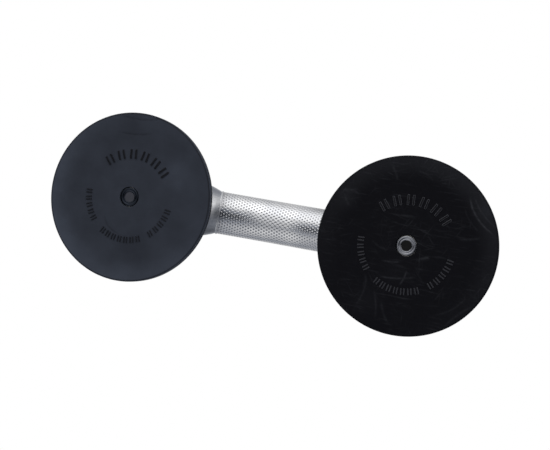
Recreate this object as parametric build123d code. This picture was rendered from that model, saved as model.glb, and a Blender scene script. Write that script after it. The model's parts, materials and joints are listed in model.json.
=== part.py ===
from build123d import *
from math import asin, cos, degrees, pi, radians, sin
import os

os.makedirs("parts", exist_ok=True)

# Two-cup hand lifter for glass.  Millimetres, +Z up.
# The origin is midway between the cups, in the plane the rubber pads seal on.
# +X runs along the handle.  Each cup is drawn on its own axis with its lever
# folding towards +X, then moved out; the far cup is the same cup turned round.

# ---- driving dimensions --------------------------------------------------
CUP_SPACING = 195.0          # between the two cup axes
LIFT = 5.0                   # how far a folded lever draws the pad centre up
FOLD = 90.0                  # lever travel, degrees
RUNNING = 0.05               # radial clearance of a running fit

PAD_R = 59.0
PAD_THICK = 5.8
PAD_WEB = 4.5                # rubber under the backing plate
PAD_RECESS = 0.5             # middle of the underside stands clear of the glass
PAD_RECESS_R = 37.0
PAD_HOLE_R = 6.9

PLATE_R = 34.0
PLATE_THICK = 2.0

STUD_R = 6.0
STUD_RING_R = 6.55
STUD_END_Z = 1.3             # ringed end, sunk in the pad's hole
PLUG_R = 3.5
PLUG_DEPTH = 6.0
PIN_Z = 42.0                 # lever pivot height with the lever upright

SEAT_THICK = 1.0
SEAT_R = 11.5
SPRING_R = 9.0
SPRING_WIRE_R = 0.7
SPRING_TURNS = 3.5

BELL_R = 54.5
BELL_LIP_Z = 11.0            # top of the straight lip
BELL_WALL = 3.2
BOSS_R = 17.0
BOSS_BOTTOM_Z = 20.0
BOSS_TOP_Z = 30.0
BOSS_CORE_R = 13.0
RIBS = 8
RIB_THICK = 2.4
RIB_BOTTOM_Z = 13.0

WEAR_R = 15.0
WEAR_THICK = 1.2

GRIP_HALF = 44.6             # half length of the grip, beads included
GRIP_MID_Z = 50.0            # centre of the grip at mid length
GRIP_ARCH_R = 166.0
GRIP_HALF_WIDTH = 14.9
GRIP_HALF_HEIGHT = 12.3
BEAD_PROUD = 0.8
BEAD_LENGTH = 1.2
FOOT_FILLET = 4.5            # where a shoulder meets its bell

PIN_R = 3.0
FORK_HALF = 13.0             # outer faces of the lever's fork
FORK_GAP = 6.4               # inner faces of the fork
FORK_ROOT = 9.5              # depth of the fork's slot beyond the pin
LEVER_TIP = 52.0
LEVER_PALM_HALF = 15.0
LEVER_SKIN = 3.4

CLIP_THICK = 0.8
CLIP_OUTER_R = 5.2
CLIP_GROOVE_R = 2.3
PIN_END = 1.6                # pin beyond each clip's outer face

# ---- derived dimensions --------------------------------------------------
CUP_X = CUP_SPACING / 2
CAM_RATE = LIFT / radians(FOLD)                      # lift per radian of fold
WEAR_TOP_Z = BOSS_TOP_Z + WEAR_THICK
CAM_START = PIN_Z - WEAR_TOP_Z - RUNNING             # pin to wear plate, upright
CAM_END = CAM_START + LIFT
PLATE_TOP_Z = PAD_WEB + PLATE_THICK
SEAT_TOP_Z = PLATE_TOP_Z + SEAT_THICK
SLOPE = degrees(asin(GRIP_HALF / GRIP_ARCH_R))       # handle's slope at its ends
ARCH_CENTRE_Z = GRIP_MID_Z - GRIP_ARCH_R
BOTH_SIDES = (("left", -1), ("right", 1))


def turned(points_face):
    """Solid of revolution about Z from a face drawn in the XZ plane."""
    return revolve(points_face, Axis.Z)


def at_cup(shape, side):
    """Move a shape from the cup's own frame to the cup on that side."""
    turn = 0 if side > 0 else 180
    return Pos(side * CUP_X, 0, 0) * Rot(0, 0, turn) * shape


def cylinder_between(radius, low, high):
    return Pos(0, 0, low) * extrude(Circle(radius), high - low)


# ---- rubber pad and the parts that lift it -------------------------------
def pad():
    edge = 0.8
    outline = Polyline(
        (PAD_HOLE_R, PAD_RECESS),
        (PAD_RECESS_R - 2, PAD_RECESS),
        (PAD_RECESS_R, 0),
        (PAD_R - edge, 0),
        (PAD_R, edge),
        (PAD_R, PAD_THICK - edge),
        (PAD_R - edge, PAD_THICK),
        (PLATE_R + 0.2, PAD_THICK),
        (PLATE_R + 0.2, PAD_WEB),
        (PAD_HOLE_R, PAD_WEB),
        close=True,
    )
    return turned(make_face(Plane.XZ * outline))


def pad_plate():
    disc = cylinder_between(PLATE_R, PAD_WEB, PLATE_TOP_Z)
    holes = Part() + PolarLocations(PLATE_R * 0.7, 6) * extrude(Circle(3.0), 20)
    return disc - cylinder_between(STUD_R, 0, 20) - holes


def stud():
    ring_low = STUD_END_Z
    edge = 0.3
    groove_inner = PLUG_R + 0.9
    groove_outer = groove_inner + 0.9
    groove_deep = 0.5
    outline = Polyline(
        (0, ring_low + PLUG_DEPTH),
        (PLUG_R, ring_low + PLUG_DEPTH),
        (PLUG_R, ring_low),
        (groove_inner, ring_low),
        (groove_inner, ring_low + groove_deep),
        (groove_outer, ring_low + groove_deep),
        (groove_outer, ring_low),
        (STUD_RING_R - edge, ring_low),
        (STUD_RING_R, ring_low + edge),
        (STUD_RING_R, PAD_WEB),
        (STUD_R, PAD_WEB),
        (STUD_R, PIN_Z),
    )
    crown = ThreePointArc(
        (STUD_R, PIN_Z),
        (STUD_R * cos(pi / 4), PIN_Z + STUD_R * sin(pi / 4)),
        (0, PIN_Z + STUD_R),
    )
    axis_line = Line((0, PIN_Z + STUD_R), (0, ring_low + PLUG_DEPTH))
    edges = outline.edges() + [crown, axis_line]
    body = turned(make_face([Plane.XZ * edge for edge in edges]))
    eye = Pos(0, 0, PIN_Z) * Rot(90, 0, 0) * Cylinder(PIN_R + RUNNING, 4 * STUD_R)
    return body - eye


def stud_plug():
    return cylinder_between(PLUG_R, STUD_END_Z, STUD_END_Z + PLUG_DEPTH)


def spring_seat():
    lip = 0.8
    disc = cylinder_between(SEAT_R, PLATE_TOP_Z, SEAT_TOP_Z)
    rim = cylinder_between(SEAT_R, SEAT_TOP_Z, SEAT_TOP_Z + lip)
    rim -= cylinder_between(SEAT_R - lip, SEAT_TOP_Z, SEAT_TOP_Z + lip)
    return disc + rim - cylinder_between(STUD_R + 0.2, 0, 20)


def release_spring():
    low = SEAT_TOP_Z + SPRING_WIRE_R
    high = BOSS_BOTTOM_Z - SPRING_WIRE_R
    rise = high - low
    path = Pos(0, 0, low) * Helix(rise / SPRING_TURNS, rise, SPRING_R)
    start = Plane(origin=path @ 0, z_dir=path % 0)
    return sweep(start * Circle(SPRING_WIRE_R), path=path, is_frenet=True)


# ---- lever ---------------------------------------------------------------
def cam_point(angle):
    """Point of the cam where its outward normal points at angle (folded lever).

    The distance from the pin to the tangent grows evenly with the angle, so the
    flank is the involute of a circle and the lift is in step with the fold."""
    reach = CAM_START + CAM_RATE * (angle - pi)
    across = reach * cos(angle) - CAM_RATE * sin(angle)
    up = reach * sin(angle) + CAM_RATE * cos(angle)
    return (across, up)


def lever_profile():
    """Side view of the folded lever, its pin at the origin, its tip along +X."""
    steps = 8
    flank_points = [cam_point(pi + i * pi / 2 / steps) for i in range(steps + 1)]
    flank = Spline(*flank_points, tangents=[(0, -1), (1, 0)])
    sole = Line(flank_points[-1], (7.0, -CAM_END))
    throat = Spline((7.0, -CAM_END), (15.0, -6.0), (26.0, 0.2), tangents=[(1, 0), (1, 0.35)])
    underside = Spline((26.0, 0.2), (40.0, -1.6), (LEVER_TIP - 1.5, -4.2), tangents=[(1, 0.35), (1, 0.05)])
    tip = ThreePointArc((LEVER_TIP - 1.5, -4.2), (LEVER_TIP, -2.4), (LEVER_TIP - 1.7, -0.8))
    back = Spline(
        (LEVER_TIP - 1.7, -0.8), (40.0, 3.4), (20.0, 8.6), (0.0, 9.6),
        tangents=[(-1, 0.02), (-1, -0.15)],
    )
    heel = Spline((0.0, 9.6), (-CAM_START, 2.0), tangents=[(-1, -0.15), (0, -1)])
    heel_side = Line((-CAM_START, 2.0), flank_points[0])
    return [flank, sole, throat, underside, tip, back, heel, heel_side]


def lever_plan():
    """Top view of the lever: fork, widening palm and rounded tip."""
    round_r = 12.0
    half = [
        Line((-20, 0), (-20, FORK_HALF)),
        Line((-20, FORK_HALF), (6, FORK_HALF)),
        Spline((6, FORK_HALF), (30, LEVER_PALM_HALF), tangents=[(1, 0), (1, 0)]),
        Line((30, LEVER_PALM_HALF), (LEVER_TIP - round_r, LEVER_PALM_HALF)),
        Spline(
            (LEVER_TIP - round_r, LEVER_PALM_HALF), (LEVER_TIP, 0),
            tangents=[(1, 0), (0, -1)],
        ),
    ]
    half_face = make_face(half + [Line((LEVER_TIP, 0), (-20, 0))])
    return half_face + mirror(half_face, Plane.XZ)


def lever_folded():
    side_face = make_face([Plane.XZ * edge for edge in lever_profile()])
    blank = extrude(side_face, 20, both=True)
    body = blank & extrude(lever_plan(), 40, both=True)
    edges = body.edges().filter_by(lambda e: e.length > 8)
    body = fillet(edges, 1.2)
    slot = Pos(FORK_ROOT - 20, 0, 0) * Box(40, 2 * FORK_GAP, 60)
    bore = Rot(90, 0, 0) * Cylinder(PIN_R, 60)
    return body - slot - bore


def lever_pocket():
    """Hollow in the lever's underside, crossed by two ribs."""
    low, high, half = 20.0, 45.0, 10.5
    roof = Spline((low, 8.6 - LEVER_SKIN), (32.0, 6.0 - LEVER_SKIN), (high, 1.6 - LEVER_SKIN))
    outline = [
        roof,
        Line((high, 1.6 - LEVER_SKIN), (high, -20)),
        Line((high, -20), (low, -20)),
        Line((low, -20), (low, 8.6 - LEVER_SKIN)),
    ]
    hollow = extrude(make_face([Plane.XZ * edge for edge in outline]), half, both=True)
    for rib_x in (27.5, 36.5):
        hollow -= Pos(rib_x, 0, 0) * Box(2, 2 * half, 60)
    return hollow


def upright(shape):
    """Turn a folded shape about the pin to the released, upright pose."""
    return Pos(0, 0, PIN_Z) * Rot(0, -FOLD, 0) * shape


def lever():
    return upright(lever_folded() - lever_pocket())


def pivot_pin():
    length = 2 * (FORK_HALF + CLIP_THICK + PIN_END)
    bar = chamfer(Cylinder(PIN_R, length).edges(), 0.4)
    for side in (-1, 1):
        groove_mid = side * (FORK_HALF + CLIP_THICK / 2)
        ring = Cylinder(PIN_R + 1, CLIP_THICK) - Cylinder(CLIP_GROOVE_R, CLIP_THICK)
        bar -= Pos(0, 0, groove_mid) * ring
    return Pos(0, 0, PIN_Z) * Rot(90, 0, 0) * bar


def pin_clips():
    ring = Circle(CLIP_OUTER_R) - Circle(PIN_R + 0.4)
    for angle in (90, 210, 330):
        ring += Rot(0, 0, angle) * Pos(3.2, 0) * Rectangle(1.8, 2.4)
    ring -= Circle(CLIP_GROOVE_R)
    ring -= Rot(0, 0, -90) * Pos(CLIP_OUTER_R, 0) * Rectangle(2 * CLIP_OUTER_R, 3.6)
    clip = extrude(ring, CLIP_THICK / 2, both=True)
    pair = Part()
    for side in (-1, 1):
        along = side * (FORK_HALF + CLIP_THICK / 2)
        pair += Pos(0, along, PIN_Z) * Rot(90, 0, 0) * Rot(0, 0, 40) * clip
    return pair


def wear_plate():
    plate = cylinder_between(WEAR_R, BOSS_TOP_Z, WEAR_TOP_Z)
    plate = fillet(plate.edges().group_by(Axis.Z)[-1], 0.4)
    return plate - cylinder_between(STUD_R + 0.5, 0, 60)


# ---- one-piece cast frame: two bells and the arched grip -----------------
def bell_solid():
    """Outside of a bell as a full solid of revolution."""
    outline = [
        Line((0, PAD_THICK), (BELL_R, PAD_THICK)),
        Line((BELL_R, PAD_THICK), (BELL_R, BELL_LIP_Z)),
        ThreePointArc((BELL_R, BELL_LIP_Z), (BELL_R - 1.6, 14.4), (BELL_R - 5.0, 16.0)),
        Spline((BELL_R - 5.0, 16.0), (38.0, 20.2), (27.0, 24.2), (BOSS_R + 4.0, 27.2), tangents=[(-1, 0.22), (-1, 0.7)]),
        Line((BOSS_R + 4.0, 27.2), (BOSS_R, BOSS_TOP_Z - 0.6)),
        Line((BOSS_R, BOSS_TOP_Z - 0.6), (BOSS_R - 0.6, BOSS_TOP_Z)),
        Line((BOSS_R - 0.6, BOSS_TOP_Z), (0, BOSS_TOP_Z)),
        Line((0, BOSS_TOP_Z), (0, PAD_THICK)),
    ]
    return turned(make_face([Plane.XZ * edge for edge in outline]))


def bell_cavity():
    """Hollow under a bell: the dome's underside, around the guide boss."""
    inner = BELL_R - BELL_WALL
    outline = Polyline(
        (BOSS_CORE_R, 0),
        (inner, 0),
        (inner, BELL_LIP_Z),
        (inner - 3.0, 13.2),
        (38.0, 16.8),
        (27.0, 20.8),
        (BOSS_CORE_R, 23.4),
        close=True,
    )
    below_boss = cylinder_between(BOSS_CORE_R, 0, BOSS_BOTTOM_Z)
    return turned(make_face(Plane.XZ * outline)) + below_boss


def bell_ribs():
    """Radial webs between the guide boss and the lip."""
    length = BELL_R - BOSS_CORE_R - 1
    web = Pos(BOSS_CORE_R - 0.5 + length / 2, 0, RIB_BOTTOM_Z + 5) * Box(length, RIB_THICK, 10)
    webs = Part() + PolarLocations(0, RIBS, start_angle=180 / RIBS) * web
    return (webs & bell_solid()) - cylinder_between(BOSS_CORE_R - 1, 0, BOSS_BOTTOM_Z)


def neck():
    """Flared shoulder from the grip's end down into the bell, on the +X side."""
    sections = []
    stations = (
        (GRIP_HALF - 0.5, 44.0, SLOPE, 14.9, 12.1),
        (48.0, 42.7, 20.0, 16.7, 11.9),
        (54.0, 38.6, 32.0, 19.0, 11.4),
        (61.0, 32.0, 45.0, 22.2, 10.4),
        (67.0, 23.0, 54.0, 25.5, 9.2),
        (72.5, 12.5, 62.0, 28.0, 8.5),
    )
    for along, height, drop, half_width, half_height in stations:
        direction = (cos(radians(drop)), 0, -sin(radians(drop)))
        plane = Plane(origin=(along, 0, height), x_dir=(0, 1, 0), z_dir=direction)
        sections.append(plane * Ellipse(half_width, half_height))
    return loft(sections)


def grip_bar(half_width, half_height, start, sweep_angle):
    """Oval bar that follows the handle's arch, from start over sweep_angle degrees."""
    oval = Plane.YZ * Pos(0, GRIP_MID_Z) * Ellipse(half_width, half_height)
    arch_axis = Axis((0, 0, ARCH_CENTRE_Z), (0, 1, 0))
    return revolve(oval.rotate(arch_axis, start), arch_axis, sweep_angle)


def handle():
    bar = grip_bar(GRIP_HALF_WIDTH, GRIP_HALF_HEIGHT, -SLOPE, 2 * SLOPE)
    bead_angle = degrees(BEAD_LENGTH / GRIP_ARCH_R)
    for start in (-SLOPE, SLOPE - bead_angle):
        bar += grip_bar(
            GRIP_HALF_WIDTH + BEAD_PROUD, GRIP_HALF_HEIGHT + BEAD_PROUD, start, bead_angle
        )
    return bar


def bell_with_shoulder():
    """Solid bell on the +X side, blended into the shoulder that carries the grip."""
    body = at_cup(bell_solid(), 1) + neck()
    foot = [
        edge for edge in body.edges().filter_by(GeomType.BSPLINE)
        if edge.length > 90 and edge.center().Z < GRIP_MID_Z - 2 * GRIP_HALF_HEIGHT
    ]
    return fillet(foot, FOOT_FILLET)


def frame():
    half = bell_with_shoulder()
    body = handle() + half + half.rotate(Axis.Z, 180)
    for _, side in BOTH_SIDES:
        body -= at_cup(bell_cavity(), side)
        body += at_cup(bell_ribs(), side)
        body -= at_cup(cylinder_between(STUD_R + RUNNING, 0, 60), side)
    return body


if __name__ == "__main__":
    export_step(frame(), "parts/frame.step")
    makers = {
        "pad": pad,
        "pad_plate": pad_plate,
        "stud": stud,
        "stud_plug": stud_plug,
        "spring_seat": spring_seat,
        "release_spring": release_spring,
        "wear_plate": wear_plate,
        "lever": lever,
        "pivot_pin": pivot_pin,
        "pin_clips": pin_clips,
    }
    for name, maker in makers.items():
        piece = maker()
        for side_name, side in BOTH_SIDES:
            export_step(at_cup(piece, side), f"parts/{side_name}_{name}.step")
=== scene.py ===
import json
import math

import bmesh
import bpy
import numpy as np
from mathutils import Matrix, Vector


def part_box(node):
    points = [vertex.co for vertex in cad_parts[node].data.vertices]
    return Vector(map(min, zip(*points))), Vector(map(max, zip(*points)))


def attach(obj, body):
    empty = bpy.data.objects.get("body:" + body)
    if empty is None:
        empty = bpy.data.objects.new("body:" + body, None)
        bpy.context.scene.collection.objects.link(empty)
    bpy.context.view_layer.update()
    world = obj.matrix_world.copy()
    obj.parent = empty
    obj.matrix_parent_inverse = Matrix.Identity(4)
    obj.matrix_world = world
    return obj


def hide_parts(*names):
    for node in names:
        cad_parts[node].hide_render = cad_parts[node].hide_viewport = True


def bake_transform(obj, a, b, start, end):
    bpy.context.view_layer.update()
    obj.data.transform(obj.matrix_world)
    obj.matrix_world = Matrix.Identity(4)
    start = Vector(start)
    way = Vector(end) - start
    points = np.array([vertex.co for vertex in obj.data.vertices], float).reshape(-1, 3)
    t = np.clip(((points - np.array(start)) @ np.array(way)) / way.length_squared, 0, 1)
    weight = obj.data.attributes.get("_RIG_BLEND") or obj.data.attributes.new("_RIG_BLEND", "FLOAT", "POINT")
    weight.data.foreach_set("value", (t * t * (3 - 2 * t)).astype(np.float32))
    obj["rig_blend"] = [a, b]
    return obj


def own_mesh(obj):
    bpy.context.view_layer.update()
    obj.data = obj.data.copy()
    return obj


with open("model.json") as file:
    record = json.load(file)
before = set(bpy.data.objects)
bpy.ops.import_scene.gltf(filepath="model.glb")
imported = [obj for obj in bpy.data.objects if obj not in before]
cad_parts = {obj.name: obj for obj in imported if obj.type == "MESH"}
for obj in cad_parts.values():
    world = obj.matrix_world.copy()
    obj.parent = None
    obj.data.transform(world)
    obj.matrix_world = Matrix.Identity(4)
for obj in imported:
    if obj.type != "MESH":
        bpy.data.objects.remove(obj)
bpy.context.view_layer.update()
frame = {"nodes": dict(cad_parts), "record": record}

# The looks of a two-cup glass lifter.  The row frame is in metres: +X along the
# handle, +Z up, the pads seal on z = 0.  Sizes of the object are in millimetres.
MM = 0.001
SIDES = {"left": -1, "right": 1}
NODES = frame["nodes"]


def node_box(node):
    """Lowest and highest corner of a CAD node, in millimetres."""
    low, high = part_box(node)
    return np.array(low) / MM, np.array(high) / MM


PAD_LOW, PAD_HIGH = node_box("right_pad")
CUP_X = (PAD_LOW[0] + PAD_HIGH[0]) / 2
PAD_R = (PAD_HIGH[0] - PAD_LOW[0]) / 2
PAD_TOP = PAD_HIGH[2]
PLATE_LOW, PLATE_HIGH = node_box("right_pad_plate")
PLATE_R = (PLATE_HIGH[0] - PLATE_LOW[0]) / 2
STUD_LOW, STUD_HIGH = node_box("right_stud")
RING_R = (STUD_HIGH[0] - STUD_LOW[0]) / 2
STUD_END = STUD_LOW[2]
PLUG_LOW, PLUG_HIGH = node_box("right_stud_plug")
PLUG_R = (PLUG_HIGH[0] - PLUG_LOW[0]) / 2
RECESS = 0.5                            # middle of the pad's underside above z = 0
SPRING_LOW, SPRING_HIGH = node_box("right_release_spring")
FRAME_TOP = node_box("frame")[1][2]

# Grip: an oval bar along an arch in the XZ plane
GRIP_HALF_WIDTH = 14.9
GRIP_HALF_HEIGHT = 12.3
GRIP_MID_Z = FRAME_TOP - GRIP_HALF_HEIGHT
GRIP_ARCH_R = 166.0


# ---- mesh helpers --------------------------------------------------------
def new_piece(name, mesh, materials):
    piece = bpy.data.objects.new(name, mesh)
    bpy.context.scene.collection.objects.link(piece)
    for material in materials:
        mesh.materials.append(material)
    return piece


def closed_grid(points):
    """Vertices and quads of points[i, j, 3], joined end to end both ways."""
    rows, columns = points.shape[:2]
    index = np.arange(rows * columns).reshape(rows, columns)
    across = np.roll(index, -1, 0)
    quads = np.stack(
        [index, across, np.roll(across, -1, 1), np.roll(index, -1, 1)], -1
    )
    return points.reshape(-1, 3), quads.reshape(-1, 4)


def make_mesh(name, vertices, faces):
    """Smooth mesh in metres from vertices in millimetres, its normals facing out."""
    mesh = bpy.data.meshes.new(name)
    mesh.from_pydata((np.asarray(vertices) * MM).tolist(), [], [list(f) for f in faces])
    work = bmesh.new()
    work.from_mesh(mesh)
    bmesh.ops.recalc_face_normals(work, faces=work.faces)
    work.to_mesh(mesh)
    work.free()
    mesh.polygons.foreach_set("use_smooth", [True] * len(mesh.polygons))
    mesh.update()
    return mesh


def smooth_step(value, low, high):
    share = np.clip((value - low) / (high - low), 0, 1)
    return share * share * (3 - 2 * share)


def rounded_corner(before, corner, after, radius, steps=4):
    """Points that round a profile's corner, as a curve through two trimmed ends."""
    before, corner, after = (np.array(p, float) for p in (before, corner, after))
    one = corner + (before - corner) / np.linalg.norm(before - corner) * radius
    two = corner + (after - corner) / np.linalg.norm(after - corner) * radius
    shares = np.linspace(0, 1, steps + 1)[:, None]
    return (1 - shares) ** 2 * one + 2 * shares * (1 - shares) * corner + shares ** 2 * two


# ---- materials -----------------------------------------------------------
class Nodes:
    """Short way to build a node tree."""

    def __init__(self, tree):
        self.tree = tree

    def add(self, kind, **settings):
        node = self.tree.nodes.new(kind)
        for key, value in settings.items():
            setattr(node, key, value)
        return node

    def link(self, source, target):
        self.tree.links.new(source, target)

    def put(self, node, socket, value):
        """Set a socket to a number or colour, or link it to an output."""
        if isinstance(value, bpy.types.NodeSocket):
            self.link(value, node.inputs[socket])
        else:
            node.inputs[socket].default_value = value

    def ramp(self, source, low, high, start=0.0, end=1.0, smooth=True):
        """source from low..high, clamped, to start..end."""
        kind = "SMOOTHSTEP" if smooth else "LINEAR"
        node = self.add("ShaderNodeMapRange", interpolation_type=kind)
        self.link(source, node.inputs["Value"])
        for socket, value in zip(("From Min", "From Max", "To Min", "To Max"),
                                 (low, high, start, end)):
            node.inputs[socket].default_value = value
        return node.outputs["Result"]

    def math(self, operation, first, second=0.0):
        node = self.add("ShaderNodeMath", operation=operation)
        self.put(node, 0, first)
        self.put(node, 1, second)
        return node.outputs[0]


class Coat(Nodes):
    """Node tree of one material."""

    def __init__(self, name):
        self.material = bpy.data.materials.new(name)
        self.material.use_nodes = True
        super().__init__(self.material.node_tree)
        self.shader = self.tree.nodes["Principled BSDF"]
        self.place = self.add("ShaderNodeTexCoord").outputs["Object"]

    def noise(self, size_mm, detail=3.0, stretch=(1, 1, 1), turn=0.0):
        """Noise whose features are about size_mm across, finer where stretch is larger."""
        mapping = self.add("ShaderNodeMapping", vector_type="TEXTURE")
        self.link(self.place, mapping.inputs["Vector"])
        mapping.inputs["Scale"].default_value = [1 / s for s in stretch]
        mapping.inputs["Rotation"].default_value = (0, 0, turn)
        noise = self.add("ShaderNodeTexNoise")
        noise.inputs["Scale"].default_value = 1 / (size_mm * MM)
        noise.inputs["Detail"].default_value = detail
        noise.inputs["Roughness"].default_value = 0.55
        self.link(mapping.outputs["Vector"], noise.inputs["Vector"])
        return noise.outputs["Fac"]

    def mix(self, share, first, second):
        """Colour between first and second."""
        node = self.add("ShaderNodeMix", data_type="RGBA")
        self.put(node, "Factor", share)
        for socket, value in ((node.inputs[6], first), (node.inputs[7], second)):
            if isinstance(value, bpy.types.NodeSocket):
                self.link(value, socket)
            else:
                socket.default_value = (*value, 1.0)
        return node.outputs[2]

    def bump(self, height, depth_mm, normal=None):
        node = self.add("ShaderNodeBump")
        node.inputs["Strength"].default_value = 1.0
        node.inputs["Distance"].default_value = depth_mm * MM
        self.link(height, node.inputs["Height"])
        if normal is not None:
            self.link(normal, node.inputs["Normal"])
        return node.outputs["Normal"]

    def soft_edges(self, radius_mm):
        node = self.add("ShaderNodeBevel", samples=4)
        node.inputs["Radius"].default_value = radius_mm * MM
        return node.outputs["Normal"]

    def edge_wear(self, radius_mm):
        """1 near sharp edges and 0 on open faces, from how far bevelling turns the normal."""
        plain = self.add("ShaderNodeNewGeometry").outputs["Normal"]
        turned = self.soft_edges(radius_mm)
        dot = self.add("ShaderNodeVectorMath", operation="DOT_PRODUCT")
        self.link(plain, dot.inputs[0])
        self.link(turned, dot.inputs[1])
        return self.ramp(dot.outputs["Value"], 0.995, 0.93)

    def attribute(self, name):
        return self.add("ShaderNodeAttribute", attribute_name=name).outputs["Fac"]

    def set(self, **values):
        """Set or link the shader's sockets and give back the material."""
        names = {"color": "Base Color", "metal": "Metallic", "rough": "Roughness",
                 "normal": "Normal", "specular": "Specular IOR Level"}
        for key, value in values.items():
            if isinstance(value, tuple):
                value = (*value, 1.0)
            self.put(self.shader, names[key], value)
        return self.material


def cast_aluminium(name, tone, rough, grain_mm=0.5):
    """Satin die-cast aluminium: fine skin, slow stains, edges rubbed bright, painted shade where the mesh
    marks it.
    """
    n = Coat(name)
    stains = n.noise(14, detail=4)
    skin = n.noise(grain_mm, detail=2)
    wear = n.edge_wear(0.8)
    plain = n.mix(n.ramp(stains, 0.38, 0.66), (tone * 0.86, tone * 0.87, tone * 0.90),
                  (tone, tone * 1.005, tone * 1.02))
    rubbed = n.mix(wear, plain, (0.90, 0.90, 0.91))
    # Painted shade: the colour darkens where the mesh marks it, in the grip's dimples, by its ends and at
    # its right end's -Y side.
    color = n.mix(n.attribute("painted_shade"), rubbed, (tone * 0.6, tone * 0.6, tone * 0.62))
    base_rough = n.ramp(stains, 0.35, 0.7, rough + 0.05, rough - 0.05)
    speckled = n.math("ADD", base_rough, n.ramp(skin, 0.35, 0.7, -0.04, 0.05))
    roughness = n.math("SUBTRACT", speckled, n.math("MULTIPLY", wear, 0.12))
    normal = n.bump(skin, 0.02, n.soft_edges(0.5))
    return n.set(color=color, metal=1.0, rough=roughness, normal=normal)


SHADE_FROM, SHADE_FULL = 0.0045, 0.0040   # heights (m) below which the painted shade inside the pad starts, and is full


def steel(name, color, rough, turned=False, shade_in_pad=(1, 1, 1)):
    """Plated or turned steel: fine tool marks, duller patches, and painted shade that darkens it inside the
    pad.
    """
    n = Coat(name)
    patches = n.noise(5, detail=3)
    if turned:
        marks = n.noise(0.25, detail=1, stretch=(0.15, 0.15, 1))
    else:
        marks = n.noise(0.35, detail=2)
    tone = n.mix(n.ramp(patches, 0.4, 0.65), tuple(c * 0.88 for c in color), color)
    height = n.add("ShaderNodeSeparateXYZ")
    n.link(n.place, height.inputs["Vector"])
    in_pad = n.ramp(height.outputs["Z"], SHADE_FROM, SHADE_FULL)
    # painted shade inside the pad's hole; on the left stud it is dark enough to stand in for a dark
    # reflection
    tone = n.mix(in_pad, tone, tuple(c * f for c, f in zip(color, shade_in_pad)))
    roughness = n.math("ADD", n.ramp(patches, 0.35, 0.7, rough + 0.05, rough - 0.03),
                       n.ramp(marks, 0.3, 0.7, -0.02, 0.03))
    normal = n.bump(marks, 0.006, n.soft_edges(0.25))
    return n.set(color=tone, metal=1.0, rough=roughness, normal=normal)


CLEAN = (0.0030, 0.0030, 0.0056)        # clean pad rubber
RUBBED = (0.088, 0.092, 0.106)          # scratches on clean rubber
SHEEN_TINT = (0.076, 0.088, 0.117)         # painted grey-blue sheen on the rubber
SCRATCH_TURNS = (0.3, 0.9, 1.5, 2.1, 2.8)
SCRATCH_STRETCH = (0.10, 1.3, 1)


def pad_rubber(name):
    """Moulded black rubber: satin, with a painted grey-blue sheen in places, scuffed where it was handled,
    and painted shade along the left pad's creases.
    """
    n = Coat(name)
    mottle = n.noise(22, detail=4)
    grain = n.noise(0.45, detail=2)
    # painted sheen, varied by a slow mottle
    painted_sheen = n.math("MULTIPLY", n.attribute("painted_sheen"), n.ramp(mottle, 0.3, 0.7, 0.86, 1.1))
    scratches = n.ramp(n.noise(1.4, stretch=SCRATCH_STRETCH), 0.56, 0.74)
    for turn in SCRATCH_TURNS:
        layer = n.ramp(n.noise(1.5, stretch=SCRATCH_STRETCH, turn=turn), 0.59, 0.75)
        patch = n.ramp(n.noise(26, detail=2, turn=turn), 0.40, 0.62, 0.1, 1.0)
        scratches = n.math("MAXIMUM", scratches, n.math("MULTIPLY", layer, patch))
    patches = n.ramp(n.noise(30, detail=2), 0.38, 0.62, 0.3, 1.0)
    wear = n.math("MULTIPLY", n.attribute("wear"), n.math("MULTIPLY", scratches, patches))
    broken = n.ramp(n.noise(2.2, detail=5), 0.30, 0.62, 0.35, 1.0)
    # handling marks lighten; strokes below zero take painted sheen away, as painted shade along the creases
    scuff_and_shade = n.math("MULTIPLY", n.attribute("scuff_and_shade"), broken)
    share = n.math("MAXIMUM", n.math("ADD", n.math("ADD", painted_sheen, wear), scuff_and_shade), 0.0)
    light = n.mix(n.ramp(painted_sheen, 0.1, 0.4), RUBBED, SHEEN_TINT)
    color = n.mix(n.math("MINIMUM", share, 1.0), CLEAN, light)
    rough = n.math("ADD", n.ramp(mottle, 0.3, 0.7, 0.44, 0.52), n.math("MULTIPLY", share, 0.1))
    normal = n.bump(grain, 0.006)
    return n.set(color=color, rough=rough, specular=0.12, normal=normal)


def mark_rubber(name, color, edge):
    """The raised marks: the same rubber, polished by the mould, with a painted highlight of another tone
    along their edges.
    """
    n = Coat(name)
    mottle = n.noise(3, detail=3)
    face = n.mix(mottle, tuple(c * 0.8 for c in color), tuple(c * 1.2 for c in color))
    # painted highlight along the edges
    tone = n.mix(n.attribute("edge"), face, edge)
    normal = n.bump(n.noise(0.6), 0.004)
    return n.set(color=tone, rough=n.ramp(mottle, 0.3, 0.7, 0.3, 0.4), specular=0.2, normal=normal)


def plug_rubber(name, tone, cool=1.1):
    """Softer rubber of the plug in a stud's end; cool is how much blue stands over red."""
    n = Coat(name)
    grain = n.noise(0.4, detail=3)
    dark = (tone * 0.7, tone * 0.72, tone * 0.7 * cool)
    light = (tone, tone * 1.03, tone * cool)
    color = n.mix(n.noise(2.0), dark, light)
    normal = n.bump(grain, 0.02)
    rough = n.ramp(grain, 0.3, 0.7, 0.5, 0.62)
    return n.set(color=color, rough=rough, specular=0.2, normal=normal)


TURNED = (0.74, 0.74, 0.75)

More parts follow.
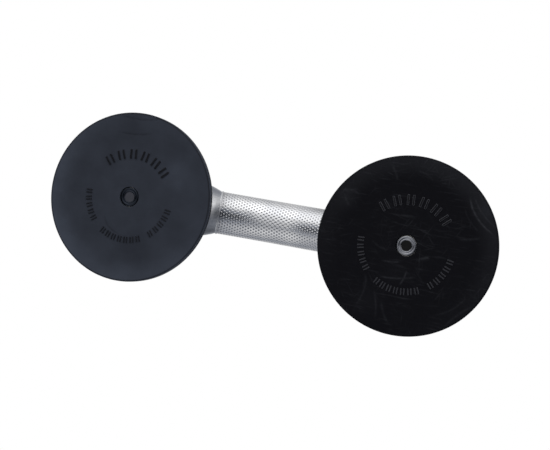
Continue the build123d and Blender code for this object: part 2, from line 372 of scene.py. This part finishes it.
MATERIALS = {
    "cast_aluminium": cast_aluminium("cast_aluminium", tone=0.78, rough=0.42),
    "grip_aluminium": cast_aluminium("grip_aluminium", tone=0.86, rough=0.12, grain_mm=0.35),
    "lever_aluminium": cast_aluminium("lever_aluminium", tone=0.70, rough=0.28),
    "plated_steel": steel("plated_steel", (0.66, 0.65, 0.60), 0.30),
    # The studs' ends get painted shade inside the pad; the left one is far darker, a painted dark
    # reflection.
    "turned_steel": steel("turned_steel", TURNED, 0.16, turned=True, shade_in_pad=(0.40, 0.41, 0.44)),
    "shaded_steel": steel("shaded_steel", TURNED, 0.16, turned=True, shade_in_pad=(0.040, 0.047, 0.062)),
    "spring_steel": steel("spring_steel", (0.30, 0.30, 0.31), 0.28),
    "pad_rubber": pad_rubber("pad_rubber"),
    # Painted edge highlights on the marks: faint on the left pad, strong on the right.
    "dark_marks": mark_rubber("dark_marks", (0.0045, 0.0050, 0.0080), (0.018, 0.021, 0.030)),
    "grey_marks": mark_rubber("grey_marks", (0.003, 0.003, 0.005), (0.065, 0.065, 0.078)),
    "plug_rubber": plug_rubber("plug_rubber", 0.006),
    # The left plug is lighter grey-blue: a painted sheen on the same rubber.
    "sheen_plug": plug_rubber("sheen_plug", 0.080, cool=1.25),
}

# How the two undersides differ: painted sheen on the left pad and plug, and a painted dark reflection on its
# steel; scratched and clean on the right, with stronger painted highlights on its marks.
MARK_MATERIAL = {"left": "dark_marks", "right": "grey_marks"}
RING_MATERIAL = {"left": "shaded_steel", "right": "turned_steel"}
NODE_MATERIAL = {"left_stud": "shaded_steel", "left_stud_plug": "sheen_plug"}


def finish_cad_nodes():
    """Give every carried CAD node the material of its slot."""
    slots = {row["node"]: row["material_slot"] for row in frame["record"]["subparts"]}
    for name, node in NODES.items():
        node.data.materials.clear()
        node.data.materials.append(MATERIALS[NODE_MATERIAL.get(name, slots[name])])


# ---- rubber pads ---------------------------------------------------------
PAD_SEGMENTS = 480
HOLE_R = RING_R + 0.35
PAD_EDGE_R = 1.0             # rounding of the rim's edges
WELL_GAP = 0.3               # round the backing plate, and the bevel of its well
DISH_R = 24.0                # the underside's dish is full inside this radius
SEAL_R = 54.0                # and gone outside this one
MARK_RING_R = 30.0
MARK_HEIGHT = 0.42

# Centre angles of the raised tread blocks, degrees from +X towards +Y, in groups
BIG_MARKS = [-128 + 17 * i for i in range(6)]
SMALL_MARKS = [11 + 9.5 * i for i in range(5)]
SMALL_MARKS += [67.5 + 8.75 * i for i in range(7)]
SMALL_MARKS += [142 + 9.25 * i for i in range(5)]

# Lines left by the mould in the left pad: start, middle, end (mm)
OUTER_LINE = ((-17, -55.7), (0, -54.3), (16, -58))
SEAL_LINE = ((-15, -43.6), (-2, -43.7), (10, -46.4))
INNER_LINE = ((-16, 15), (-11, 23), (-1, 27))

# Marks on each underside, lighter or, below zero, darker: start, middle, end, width, strength. The darker
# strokes on the left follow its creases and are painted shade.
SCUFFS_AND_SHADE = {
    "left": [
        (*OUTER_LINE, 0.6, -0.22),
        (*SEAL_LINE, 0.6, -0.20),
        (*INNER_LINE, 0.6, -0.18),
    ],
    "right": [
        ((35, -38), (41, -26), (54, -16), 0.55, 0.42),
        ((37, -40), (44, -29), (56, -20), 0.45, 0.18),
        ((33, -30), (37, -23), (45, -16), 0.45, 0.14),
        ((-15, 22.5), (-3, 22), (10, 19), 0.5, 0.30),
        ((-14, 12), (-8, 12), (-2, 11), 0.5, 0.26),
        ((8, 8), (13, 6), (16, 5), 0.8, 0.26),
        ((3, 16), (2, 21), (0, 26), 0.5, 0.28),
        ((-23, 0), (-16, 4), (-10, 4), 0.6, 0.12),
        ((-48, -29), (-42, -30), (-36, -28), 0.6, 0.20),
        ((-46, -27), (-44, -23), (-41, -19), 0.6, 0.15),
        ((-24, 22), (-22, 31), (-26, 45), 0.5, 0.15),
        ((-16, 32), (-13, 41), (-12, 50), 0.5, 0.17),
        ((-10, 38), (-7, 46), (-3, 52), 0.6, 0.13),
        ((33, 47), (40, 38), (49, 30), 0.6, 0.12),
        ((25, 41), (36, 35), (44, 25), 0.5, 0.14),
        ((32, -10), (39, -11), (46, -13), 0.6, 0.18),
        ((-19, -51), (-15, -46), (-13, -41), 0.6, 0.18),
        ((-2, -49), (5, -48), (10, -44), 0.5, 0.12),
    ],
}

# Wide soft patches of painted sheen on each underside: centre (mm), radius, strength
SHEEN_PATCHES = {
    "left": [
        ((34, -21), 10, 0.26), ((-18, -6), 9, 0.10), ((10, 37), 14, -0.08),
        ((-8, -46), 12, -0.08), ((-44, 8), 10, -0.05),
    ],
    "right": [((47, -31), 6, 0.08), ((-44, -24), 7, 0.06), ((-20, 40), 9, 0.04), ((-4, 18), 9, 0.03)],
}

# Painted grey-blue sheen on each pad: level over its middle, gain at the rim, direction in degrees
# where the rim gains most; then how scratched it is
SHEEN = {
    "left": (0.57, 0.40, 135, 0.05),
    "right": (-0.004, 0.15, -70, 0.20),
}

# Shallow creases in each underside: start, middle, end, width, depth
CREASES = {
    "left": [
        (*OUTER_LINE, 0.8, 0.10),
        (*SEAL_LINE, 0.9, 0.08),
        (*INNER_LINE, 0.6, 0.07),
    ],
    "right": [((33, -40), (37, -29), (55, -14), 0.9, 0.10)],
}


def flat_rings(start, end, level, count):
    """Points (radius, z) at one level, evenly from radius start to end."""
    return [(radius, level) for radius in np.linspace(start, end, count)]


def pad_profile():
    """Closed outline (radius, z) of a pad, from its hole outwards and back."""
    well_r = PLATE_R + WELL_GAP
    well_floor = PLATE_LOW[2]
    hole_edge = rounded_corner((HOLE_R, RECESS + 2), (HOLE_R, RECESS), (HOLE_R + 2, RECESS), 0.45)
    under = flat_rings(HOLE_R + 0.5, PAD_R - PAD_EDGE_R - 0.3, RECESS, 116)
    low_edge = rounded_corner((PAD_R - 3, 0), (PAD_R, 0), (PAD_R, 3), PAD_EDGE_R, 6)
    high_edge = rounded_corner((PAD_R, 3), (PAD_R, PAD_TOP), (PAD_R - 3, PAD_TOP), PAD_EDGE_R, 6)
    top = flat_rings(PAD_R - 2, well_r + WELL_GAP, PAD_TOP, 24)
    well = [(well_r, PAD_TOP - WELL_GAP), (well_r, well_floor)]
    floor = flat_rings(well_r - 2, HOLE_R, well_floor, 8)
    return np.array([*hole_edge, *under, *low_edge, *high_edge, *top, *well, *floor])


def stroke_mask(points, start, middle, end, width):
    """1 on a curved stroke and fading to 0 across its width, for each point (x, y)."""
    start, middle, end = (np.array(p, float) for p in (start, middle, end))
    control = 2 * middle - (start + end) / 2
    nearest = np.full(len(points), 1e9)
    along = np.zeros(len(points))
    for share in np.linspace(0, 1, 40):
        spot = (1 - share) ** 2 * start + 2 * share * (1 - share) * control + share ** 2 * end
        distance = np.hypot(*(points - spot).T)
        closer = distance < nearest
        nearest[closer] = distance[closer]
        along[closer] = share
    taper = np.clip(np.minimum(along, 1 - along) * 6, 0.15, 1)
    return np.exp(-((nearest / width) ** 2)) * taper


def under_height(points, radius, side):
    """How far the underside stands above z = 0: a shallow dish and a few creases."""
    height = RECESS * (1 - smooth_step(radius, DISH_R, SEAL_R))
    for start, middle, end, width, depth in CREASES[side]:
        height += depth * stroke_mask(points, start, middle, end, width)
    return height


def pad_body(side):
    """Vertices and faces of a pad, about its own axis."""
    profile = pad_profile()
    angles = np.linspace(0, 2 * math.pi, PAD_SEGMENTS, endpoint=False)
    radius = np.repeat(profile[:, :1], PAD_SEGMENTS, 1)
    points = np.stack(
        [radius * np.cos(angles), radius * np.sin(angles), np.repeat(profile[:, 1:], PAD_SEGMENTS, 1)],
        -1,
    )
    vertices, faces = closed_grid(points)
    flat_radius = radius.ravel()
    under = (np.abs(vertices[:, 2] - RECESS) < 1e-6) & (flat_radius > HOLE_R + 0.2)
    vertices[under, 2] = under_height(vertices[under, :2], flat_radius[under], side)
    return vertices, faces


BIG_BLOCK = (6.8, 1.50, 1.80)                # length, width, half the spacing of a pair
SMALL_BLOCK = (4.4, 0.90, 0.98)
BLOCK_SUNK = 0.3             # foot of a block, inside the pad
BLOCK_EDGE = 0.16            # bevel round its top
SMALL_WIDTH = 1.2            # blocks narrower than this get part of the painted edge highlight all over


def rounded_outline(length, width, corner, steps=4):
    """Points of a rounded rectangle about the origin, anticlockwise."""
    outline = []
    for sx, sy, turn in ((1, 1, 0), (-1, 1, 90), (-1, -1, 180), (1, -1, 270)):
        x, y = sx * (length / 2 - corner), sy * (width / 2 - corner)
        for i in range(steps + 1):
            angle = math.radians(turn + 90 * i / steps)
            outline.append((x + corner * math.cos(angle), y + corner * math.sin(angle)))
    return np.array(outline)


def block(length, width, height):
    """Raised tread block: rounded rectangle, length along X, rising towards -Z, and its edge share."""
    outline = rounded_outline(length, width, min(length, width) * 0.28)
    inset = min(0.34, width * 0.24)
    levels = (
        (0.10, -BLOCK_SUNK), (0.06, 0.0), (0.0, height - BLOCK_EDGE),
        (-BLOCK_EDGE * 0.3, height - BLOCK_EDGE * 0.3), (-BLOCK_EDGE, height), (-inset, height),
    )
    rings = []
    for grow, level in levels:
        size = 1 + 2 * grow / np.array([length, width])
        rings.append(np.column_stack([outline * size, np.full(len(outline), -level)]))
    count = len(outline)
    last = (len(levels) - 1) * count
    vertices = np.vstack(rings + [[(0, 0, BLOCK_SUNK)], [(0, 0, -height)]])
    base, top = len(vertices) - 2, len(vertices) - 1
    faces = []
    for low in range(0, last, count):
        high = low + count
        for i in range(count):
            j = (i + 1) % count
            faces.append((low + i, low + j, high + j, high + i))
    for i in range(count):
        j = (i + 1) % count
        faces.append((base, j, i))
        faces.append((top, last + i, last + j))
    if width < SMALL_WIDTH:
        return vertices, faces, np.full(len(vertices), 0.55)
    return vertices, faces, np.append(np.ones(last), np.zeros(count + 2))


def tread_blocks():
    """All raised blocks of a pad as (vertices, faces, edge share), in a ring of paired bars."""
    blocks = []
    floor = RECESS * (1 - smooth_step(MARK_RING_R, DISH_R, SEAL_R))
    cells = [(angle, *BIG_BLOCK) for angle in BIG_MARKS]
    cells += [(angle, *SMALL_BLOCK) for angle in SMALL_MARKS]
    for angle, length, width, apart in cells:
        for shift in (-apart, apart):
            vertices, faces, at_edge = block(length, width, MARK_HEIGHT)
            vertices = vertices + np.array([MARK_RING_R, shift, floor])
            turn = math.radians(angle)
            spin = np.array([[math.cos(turn), -math.sin(turn)], [math.sin(turn), math.cos(turn)]])
            vertices[:, :2] = vertices[:, :2] @ spin.T
            blocks.append((vertices, faces, at_edge))
    return blocks


def painted_sheen_of(points, side):
    """How much painted sheen each point of a pad gets, and how scratched it is; less sheen along its sealing
    edge, none up its side.
    """
    level, rim, toward, wear = SHEEN[side]
    radius = np.hypot(*points[:, :2].T)
    angle = np.arctan2(points[:, 1], points[:, 0]) - math.radians(toward)
    painted_sheen = level + rim * smooth_step(radius, 42, 57) * (0.5 + 0.5 * np.cos(angle))
    for centre, size, strength in SHEEN_PATCHES[side]:
        painted_sheen += strength * np.exp(-((np.hypot(*(points[:, :2] - centre).T) / size) ** 2))
    # less painted sheen along the sealing edge, and none up the side
    edge = np.exp(-(((radius - PAD_R + 0.8) / 0.35) ** 2)) * (points[:, 2] < 0.9)
    painted_sheen *= (1 - 0.7 * edge) * (1 - smooth_step(points[:, 2], 1.6, 3.4))
    return painted_sheen, wear * np.ones(len(points))


def scuff_and_shade_of(points, side):
    """The strongest mark at each point of a pad, with its sign: lighter handling marks, and painted shade
    along the left pad's creases.
    """
    scuff_and_shade = np.zeros(len(points))
    for start, middle, end, width, strength in SCUFFS_AND_SHADE[side]:
        mask = stroke_mask(points[:, :2], start, middle, end, width)
        scuff_and_shade = np.where(np.abs(scuff_and_shade) > abs(strength) * mask, scuff_and_shade, strength * mask)
    return scuff_and_shade


def set_attribute(mesh, name, values):
    """Store one number a vertex, for a material to read."""
    attribute = mesh.attributes.new(name, "FLOAT", "POINT")
    attribute.data.foreach_set("value", values.astype(np.float32))


def make_pad(side):
    """The whole rubber pad with its tread blocks, and how it follows the stud."""
    vertices, body_faces = pad_body(side)
    faces = [tuple(f) for f in body_faces.tolist()]
    parts = [vertices]
    edges = [np.zeros(len(vertices))]
    offset = len(vertices)
    for block_vertices, block_faces, at_edge in tread_blocks():
        parts.append(block_vertices)
        edges.append(at_edge)
        faces += [tuple(i + offset for i in f) for f in block_faces]
        offset += len(block_vertices)
    flat = np.vstack(parts)
    mesh = make_mesh(f"{side}_pad_rubber", flat + np.array([SIDES[side] * CUP_X, 0, 0]), faces)
    materials = [MATERIALS["pad_rubber"], MATERIALS[MARK_MATERIAL[side]]]
    piece = new_piece(f"{side}_pad_rubber", mesh, materials)
    shown = [0] * len(body_faces) + [1] * (len(faces) - len(body_faces))
    mesh.polygons.foreach_set("material_index", shown)
    # the painted sheen and the scratches, for the rubber's material
    painted_sheen, wear = painted_sheen_of(flat, side)
    set_attribute(mesh, "scuff_and_shade", scuff_and_shade_of(flat, side))
    set_attribute(mesh, "painted_sheen", painted_sheen)
    set_attribute(mesh, "wear", wear)
    # where the marks' painted edge highlight goes
    set_attribute(mesh, "edge", np.concatenate(edges))
    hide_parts(f"{side}_pad")
    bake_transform(piece, "frame", f"{side}_stud", start=(0, 0, 0), end=(0, 0, 1))
    rise = 1 - smooth_step(np.hypot(*flat[:, :2].T), PLATE_R + 0.5, PAD_R - 8)
    mesh.attributes["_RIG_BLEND"].data.foreach_set("value", rise.astype(np.float32))


# ---- rounded ends of the studs -------------------------------------------
SLIP = 0.02                  # keeps the ring's walls off the stud's and the plug's
INNER_WIDTH = 1.15           # of the inner ring; the outer one takes the rest
INNER_PROUD, OUTER_PROUD = 0.30, 0.42        # how far each ring stands out of the stud's end
RING_SUNK, RING_FOOT = 0.3, 0.05             # how far the ring's body and foot lie inside it


def ring_profile():
    """Closed outline (radius, z) of the rings, outer wall first."""
    inner, outer = PLUG_R + SLIP, RING_R - SLIP
    groove = inner + INNER_WIDTH
    profile = [(outer, STUD_END + RING_SUNK), (outer, STUD_END + RING_FOOT)]
    for low, high, proud in ((groove, outer, OUTER_PROUD), (inner, groove, INNER_PROUD)):
        turn = np.linspace(0.12, math.pi - 0.12, 9)
        middle, half = (low + high) / 2, (high - low) / 2
        profile += [(middle + half * math.cos(a), STUD_END - proud * math.sin(a)) for a in turn]
    profile += [(inner, STUD_END + RING_FOOT), (inner, STUD_END + RING_SUNK)]
    return np.array(profile)


def make_stud_ring(side):
    """Two rounded rings with a groove between them, on the end of a stud."""
    profile = ring_profile()
    angles = np.linspace(0, 2 * math.pi, 96, endpoint=False)
    radius = np.repeat(profile[:, :1], len(angles), 1)
    height = np.repeat(profile[:, 1:], len(angles), 1)
    points = np.stack([radius * np.cos(angles), radius * np.sin(angles), height], -1)
    vertices, faces = closed_grid(points)
    mesh = make_mesh(f"{side}_stud_ring", vertices + np.array([SIDES[side] * CUP_X, 0, 0]), faces)
    piece = new_piece(f"{side}_stud_ring", mesh, [MATERIALS[RING_MATERIAL[side]]])
    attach(piece, f"{side}_stud")


# ---- release springs -----------------------------------------------------
WIRE_R = 0.7
COIL_TURNS = 5.0


def coil(radius, low, high, steps=200, around=12):
    """Vertices and faces of a wire coiled from low to high, closer together near both ends."""
    share = np.linspace(0, 1, steps + 1)
    climb = smooth_step(share, 0.0, 1.0) * 0.35 + share * 0.65
    angle = share * COIL_TURNS * 2 * math.pi
    outward = np.column_stack([np.cos(angle), np.sin(angle), np.zeros_like(angle)])
    centre = outward * radius + np.column_stack([angle * 0, angle * 0, low + (high - low) * climb])
    up = np.array([0, 0, 1.0])
    rings = []
    for i in range(around):
        turn = 2 * math.pi * i / around
        rings.append(centre + WIRE_R * (math.cos(turn) * outward + math.sin(turn) * up))
    index = np.arange((steps + 1) * around).reshape(steps + 1, around)
    faces = []
    for i in range(steps):
        for j in range(around):
            k = (j + 1) % around
            faces.append((index[i, j], index[i, k], index[i + 1, k], index[i + 1, j]))
    faces.append(tuple(index[0]))
    faces.append(tuple(index[steps][::-1]))
    return np.stack(rings, 1).reshape(-1, 3), faces


def make_spring(side):
    """Coil spring, carried by the frame."""
    coil_r = (SPRING_HIGH[0] - SPRING_LOW[0]) / 2 - WIRE_R
    vertices, faces = coil(coil_r, SPRING_LOW[2] + WIRE_R, SPRING_HIGH[2] - WIRE_R)
    mesh = make_mesh(f"{side}_coil_spring", vertices + np.array([SIDES[side] * CUP_X, 0, 0]), faces)
    piece = new_piece(f"{side}_coil_spring", mesh, [MATERIALS["spring_steel"]])
    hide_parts(f"{side}_release_spring")
    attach(piece, "frame")
    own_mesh(piece)


# ---- dimpled grip --------------------------------------------------------
COLUMN_PITCH = 2.03          # along the grip; every other column is shifted half a step
COLUMNS = 43
DIMPLES_ROUND = 34
DIMPLE_R = 0.72
DIMPLE_DEPTH = 0.42
SKIN_PROUD = 0.40            # skin above the CAD grip
SKIN_SUNK = 0.60             # inside of the sleeve, below the CAD grip's surface
SKIN_HALF = COLUMN_PITCH * COLUMNS / 2       # half the dimpled field's length
RIM = 0.6                    # plain rim beyond the field at each end
QUARTERS = DIMPLES_ROUND * 4                 # steps round the grip, four to a dimple
RING_POINTS = 16             # points round one dimple


def on_grip(arc, angle, raised):
    """Points at arc along the grip and angle round its oval, raised off the CAD surface."""
    across, upward = GRIP_HALF_HEIGHT * np.cos(angle), GRIP_HALF_WIDTH * np.sin(angle)
    steep = np.hypot(across, upward)
    y = GRIP_HALF_WIDTH * np.cos(angle) + raised * across / steep
    reach = GRIP_ARCH_R + GRIP_HALF_HEIGHT * np.sin(angle) + raised * upward / steep
    bend = arc / GRIP_ARCH_R
    return np.stack(
        [reach * np.sin(bend), y, GRIP_MID_Z - GRIP_ARCH_R + reach * np.cos(bend)], -1
    )


def even_angles(count):
    """Angles that step evenly round the grip's oval, and the step's length."""
    turn = np.linspace(0, 2 * math.pi, 4001)
    speed = np.hypot(GRIP_HALF_WIDTH * np.sin(turn), GRIP_HALF_HEIGHT * np.cos(turn))
    length = np.concatenate([[0], np.cumsum((speed[1:] + speed[:-1]) / 2 * np.diff(turn))])
    angles = np.interp(np.arange(count) / count * length[-1], length, turn)
    return angles, length[-1] / count


def dimple_cell(quarter):
    """One dimple in a square of side 4 quarter steps: points, how far each is raised, faces."""
    turn = math.pi / 4 + np.arange(RING_POINTS) * 2 * math.pi / RING_POINTS
    circle = np.column_stack([np.cos(turn), np.sin(turn)])
    corners = np.array([(2, 2), (-2, 2), (-2, -2), (2, -2)])
    sides = np.roll(corners, -1, 0) - corners
    border = np.array([corners[k] + sides[k] * i / 4 for k in range(4) for i in range(4)])
    step = np.array([COLUMN_PITCH / 4, quarter])
    rings = [circle * DIMPLE_R * share / step for share in (0.55, 1.0, 1.15)]
    points = np.vstack([[(0, 0)], *rings, border])
    raised = np.zeros(len(points))
    raised[0] = -DIMPLE_DEPTH
    raised[1:1 + RING_POINTS] = -DIMPLE_DEPTH * 0.70
    following = np.roll(np.arange(RING_POINTS), -1)
    faces = [(0, 1 + k, 1 + following[k]) for k in range(RING_POINTS)]
    for low in (1, 1 + RING_POINTS, 1 + 2 * RING_POINTS):
        high = low + RING_POINTS
        for k, after in enumerate(following):
            faces.append((low + k, high + k, high + after, low + after))
    return points, raised, faces


def dimple_field(quarter):
    """The dimples welded into one sheet: points in quarter steps, how far raised, faces."""
    cell, raised, cell_faces = dimple_cell(quarter)
    places = []
    for column in range(COLUMNS):
        for row in range(DIMPLES_ROUND):
            places.append((4 * column + 2, 4 * row + 2 * (column % 2)))
    grid = (np.array(places)[:, None, :] + cell[None]).reshape(-1, 2)
    keys = np.round(grid * 1000).astype(np.int64)
    keys[:, 1] %= QUARTERS * 1000
    _, first, welded = np.unique(keys, axis=0, return_index=True, return_inverse=True)
    welded = welded.ravel()
    faces = []
    for base in range(0, len(grid), len(cell)):
        faces += [tuple(welded[[base + i for i in face]]) for face in cell_faces]
    return keys[first] / 1000, np.tile(raised, len(places))[first], faces


def edge_line(points, along):
    """Vertices along one straight end of the dimpled field, in order round the grip."""
    found = np.flatnonzero(points[:, 0] == along)
    return found[np.argsort(points[found, 1])]


def skin_painted_shade(arc, angle, raised):
    """How much painted shade the skin gets: in its dimples, near its ends where the pads shade it, and a
    painted dark reflection at the right end's -Y side.
    """
    # painted shade by both ends, where the pads shade the grip
    end_shade = 0.8 * smooth_step(np.abs(arc), SKIN_HALF - 5, SKIN_HALF)
    # painted dark reflection of the right cup, on the -Y side near the right end
    dark_reflection = smooth_step(arc, 18, 31) * smooth_step(-np.cos(angle), 0.70, 0.95)
    return np.maximum(-raised / DIMPLE_DEPTH, np.maximum(end_shade, dark_reflection))


def make_grip_skin():
    """Closed sleeve over the grip with a staggered field of round dimples."""
    angles, quarter = even_angles(QUARTERS)
    points, raised, faces = dimple_field(quarter)
    arc = points[:, 0] * COLUMN_PITCH / 4 - SKIN_HALF
    angle = np.interp(points[:, 1], np.arange(QUARTERS + 1), np.append(angles, 2 * math.pi))
    vertices = [on_grip(arc, angle, SKIN_PROUD + raised)]
    end = SKIN_HALF + RIM
    stations = [(-end, SKIN_PROUD)]
    stations += [(place, -SKIN_SUNK) for place in np.linspace(-end, end, 9)]
    stations += [(end, SKIN_PROUD)]
    count = len(points)
    lines = [edge_line(points, 0)]
    for place, level in stations:
        vertices.append(on_grip(np.full(QUARTERS, place), angles, np.full(QUARTERS, level)))
        lines.append(count + np.arange(QUARTERS))
        count += QUARTERS
    lines.append(edge_line(points, 4 * COLUMNS))
    for one, two in zip(lines, lines[1:]):
        for k in range(QUARTERS):
            after = (k + 1) % QUARTERS
            faces.append((one[k], one[after], two[after], two[k]))
    mesh = make_mesh("grip_skin", np.vstack(vertices), faces)
    # painted shade of the skin, for its material
    painted_shade = np.zeros(len(mesh.vertices))
    painted_shade[:len(points)] = skin_painted_shade(arc, angle, raised)
    set_attribute(mesh, "painted_shade", painted_shade)
    piece = new_piece("grip_skin", mesh, [MATERIALS["grip_aluminium"]])
    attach(piece, "frame")


# ---- stage, in metres: floor, light and camera ---------------------------
CAMERA_AT = Vector((0.1607, -0.0020, -0.6417))       # below the lifter, looking up at the pads
CAMERA_AIM = Vector((0.00882, 0.00158, 0.0))
CAMERA_UP = Vector((-0.16974, -0.98489, -0.03426))
CAMERA_LENS = 64.38


def make_camera():
    data = bpy.data.cameras.new("camera")
    camera = bpy.data.objects.new("camera", data)
    bpy.context.scene.collection.objects.link(camera)
    data.lens = CAMERA_LENS
    data.sensor_width = 36.0
    back = (CAMERA_AT - CAMERA_AIM).normalized()
    right = CAMERA_UP.cross(back).normalized()
    turn = Matrix((right, back.cross(right), back)).transposed()
    camera.matrix_world = Matrix.Translation(CAMERA_AT) @ turn.to_4x4()
    bpy.context.scene.camera = camera


FLOOR_R = 4.0
FLOOR_DROP = 0.0003          # keeps the floor clear of the sealing edges
FADE_FROM, FADE_TO = 0.35, 1.5               # where the floor fades into the backdrop


def make_floor():
    """Pale floor that shows only to a camera above it, so the pads can be seen from below."""
    work = bmesh.new()
    bmesh.ops.create_circle(work, cap_ends=True, segments=96, radius=FLOOR_R)
    mesh = bpy.data.meshes.new("floor")
    work.to_mesh(mesh)
    work.free()
    n = Coat("floor")
    n.set(color=n.mix(n.noise(400), (0.88, 0.88, 0.88), (0.91, 0.91, 0.905)), rough=0.7)
    to_world = n.add("ShaderNodeVectorTransform", vector_type="POINT", convert_from="CAMERA",
                     convert_to="WORLD")
    to_world.inputs["Vector"].default_value = (0, 0, 0)
    split = n.add("ShaderNodeSeparateXYZ")
    n.link(to_world.outputs["Vector"], split.inputs["Vector"])
    above = n.math("GREATER_THAN", split.outputs["Z"], 0.0)
    away = n.add("ShaderNodeVectorMath", operation="LENGTH")
    n.link(n.place, away.inputs[0])
    white = n.add("ShaderNodeEmission")
    fade = n.add("ShaderNodeMixShader")
    n.link(n.ramp(away.outputs["Value"], FADE_FROM, FADE_TO), fade.inputs["Fac"])
    n.link(n.shader.outputs["BSDF"], fade.inputs[1])
    n.link(white.outputs["Emission"], fade.inputs[2])
    clear = n.add("ShaderNodeBsdfTransparent")
    choose = n.add("ShaderNodeMixShader")
    n.link(above, choose.inputs["Fac"])
    n.link(clear.outputs["BSDF"], choose.inputs[1])
    n.link(fade.outputs["Shader"], choose.inputs[2])
    n.link(choose.outputs["Shader"], n.tree.nodes["Material Output"].inputs["Surface"])
    floor = new_piece("floor", mesh, [n.material])
    floor.location.z = -FLOOR_DROP


def area_light(name, place, aim, size, power):
    """Soft light that shows as no bright patch in the metal."""
    data = bpy.data.lights.new(name, "AREA")
    data.shape = "RECTANGLE"
    data.size, data.size_y = size
    data.energy = power
    light = bpy.data.objects.new(name, data)
    bpy.context.scene.collection.objects.link(light)
    light.location = place
    light.rotation_euler = (Vector(aim) - Vector(place)).to_track_quat("-Z", "Y").to_euler()
    light.visible_glossy = False


# Light of the room round the handle's axis: degrees from straight down towards -Y, level
ROOM_LEVELS = (
    (-180, 0.44), (-145, 0.30), (-112, 0.12), (-80, 0.32), (-54, 0.50), (-34, 0.34), (-16, 0.09),
    (0, 0.05), (16, 0.36), (42, 1.15), (66, 1.12), (97, 0.50), (122, 0.34), (180, 0.44),
)
COOL = (0.80, 0.86, 1.0)                     # tint of the room's dark parts
BAND_ALONG = -0.21                           # where along the axis a lit band crosses below
UNDER_AIM = (-0.2165, -0.03, -0.972)         # brightest part of that band
WINDOW_AIM = (0.85, -0.35, -0.4)             # a window beyond the right cup


def room_levels(n, direction):
    """Light of the room round the handle's axis, and the direction's share along the axis."""
    split = n.add("ShaderNodeSeparateXYZ")
    n.link(direction, split.inputs["Vector"])
    toward = n.math("MULTIPLY", split.outputs["Y"], -1)
    below = n.math("MULTIPLY", split.outputs["Z"], -1)
    share = n.ramp(n.math("ARCTAN2", toward, below), -math.pi, math.pi, smooth=False)
    levels = n.add("ShaderNodeValToRGB")
    levels.color_ramp.interpolation = "EASE"
    n.link(share, levels.inputs["Fac"])
    stops = levels.color_ramp.elements
    while len(stops) < len(ROOM_LEVELS):
        stops.new(0.5)
    for stop, (angle, level) in zip(stops, ROOM_LEVELS):
        stop.position = (angle + 180) / 360
        stop.color = (level, level, level, 1)
    return levels.outputs["Color"], split.outputs["X"]


def room_spot(n, direction, aim, radius, strength):
    """Soft bright spot towards aim, radius in degrees."""
    dot = n.add("ShaderNodeVectorMath", operation="DOT_PRODUCT")
    n.link(direction, dot.inputs[0])
    dot.inputs[1].default_value = Vector(aim).normalized()
    return n.ramp(dot.outputs["Value"], math.cos(math.radians(radius)), 1.0, 0.0, strength)


def make_world():
    """White backdrop; a room that is dark below, where the camera stands, and bright towards -Y."""
    world = bpy.data.worlds.new("studio")
    bpy.context.scene.world = world
    world.use_nodes = True
    n = Nodes(world.node_tree)
    n.tree.nodes.clear()
    direction = n.add("ShaderNodeTexCoord").outputs["Generated"]
    levels, along = room_levels(n, direction)
    dimmed = n.math("MULTIPLY", levels, n.ramp(along, 0.07, 0.27, 1.0, 0.55))
    from_band = n.math("ABSOLUTE", n.math("SUBTRACT", along, BAND_ALONG))
    band = n.ramp(from_band, 0.10, 0.26, 1.0, 0.0)
    under = n.math("ADD", room_spot(n, direction, UNDER_AIM, 28, 0.34), 0.24)
    window = room_spot(n, direction, WINDOW_AIM, 25, 1.0)
    total = n.math("ADD", n.math("ADD", dimmed, n.math("MULTIPLY", band, under)), window)
    seen = n.add("ShaderNodeLightPath").outputs["Is Camera Ray"]
    strength = n.add("ShaderNodeMix", data_type="FLOAT")
    n.link(seen, strength.inputs["Factor"])
    n.link(total, strength.inputs[2])
    strength.inputs[3].default_value = 1.0
    tint = n.add("ShaderNodeMix", data_type="RGBA")
    n.link(n.math("MAXIMUM", n.ramp(total, 0.2, 0.6), seen), tint.inputs["Factor"])
    tint.inputs[6].default_value = (*COOL, 1)
    tint.inputs[7].default_value = (1, 1, 1, 1)
    background = n.add("ShaderNodeBackground")
    n.link(tint.outputs[2], background.inputs["Color"])
    n.link(strength.outputs[0], background.inputs["Strength"])
    output = n.add("ShaderNodeOutputWorld")
    n.link(background.outputs["Background"], output.inputs["Surface"])


def make_lights():
    area_light("key", (-0.6, -0.8, 1.1), (0, 0, 0.02), (1.4, 1.0), 10.5)
    area_light("fill", (0.9, -0.4, 0.8), (0, 0, 0.03), (1.2, 1.2), 5.0)
    area_light("rim", (0.2, 1.0, 0.8), (0, 0, 0.03), (1.4, 0.8), 5.0)


finish_cad_nodes()
for side in SIDES:
    make_pad(side)
    make_stud_ring(side)
    make_spring(side)
make_grip_skin()
make_floor()
make_world()
make_lights()
make_camera()
bpy.context.scene.view_settings.view_transform = "Standard"
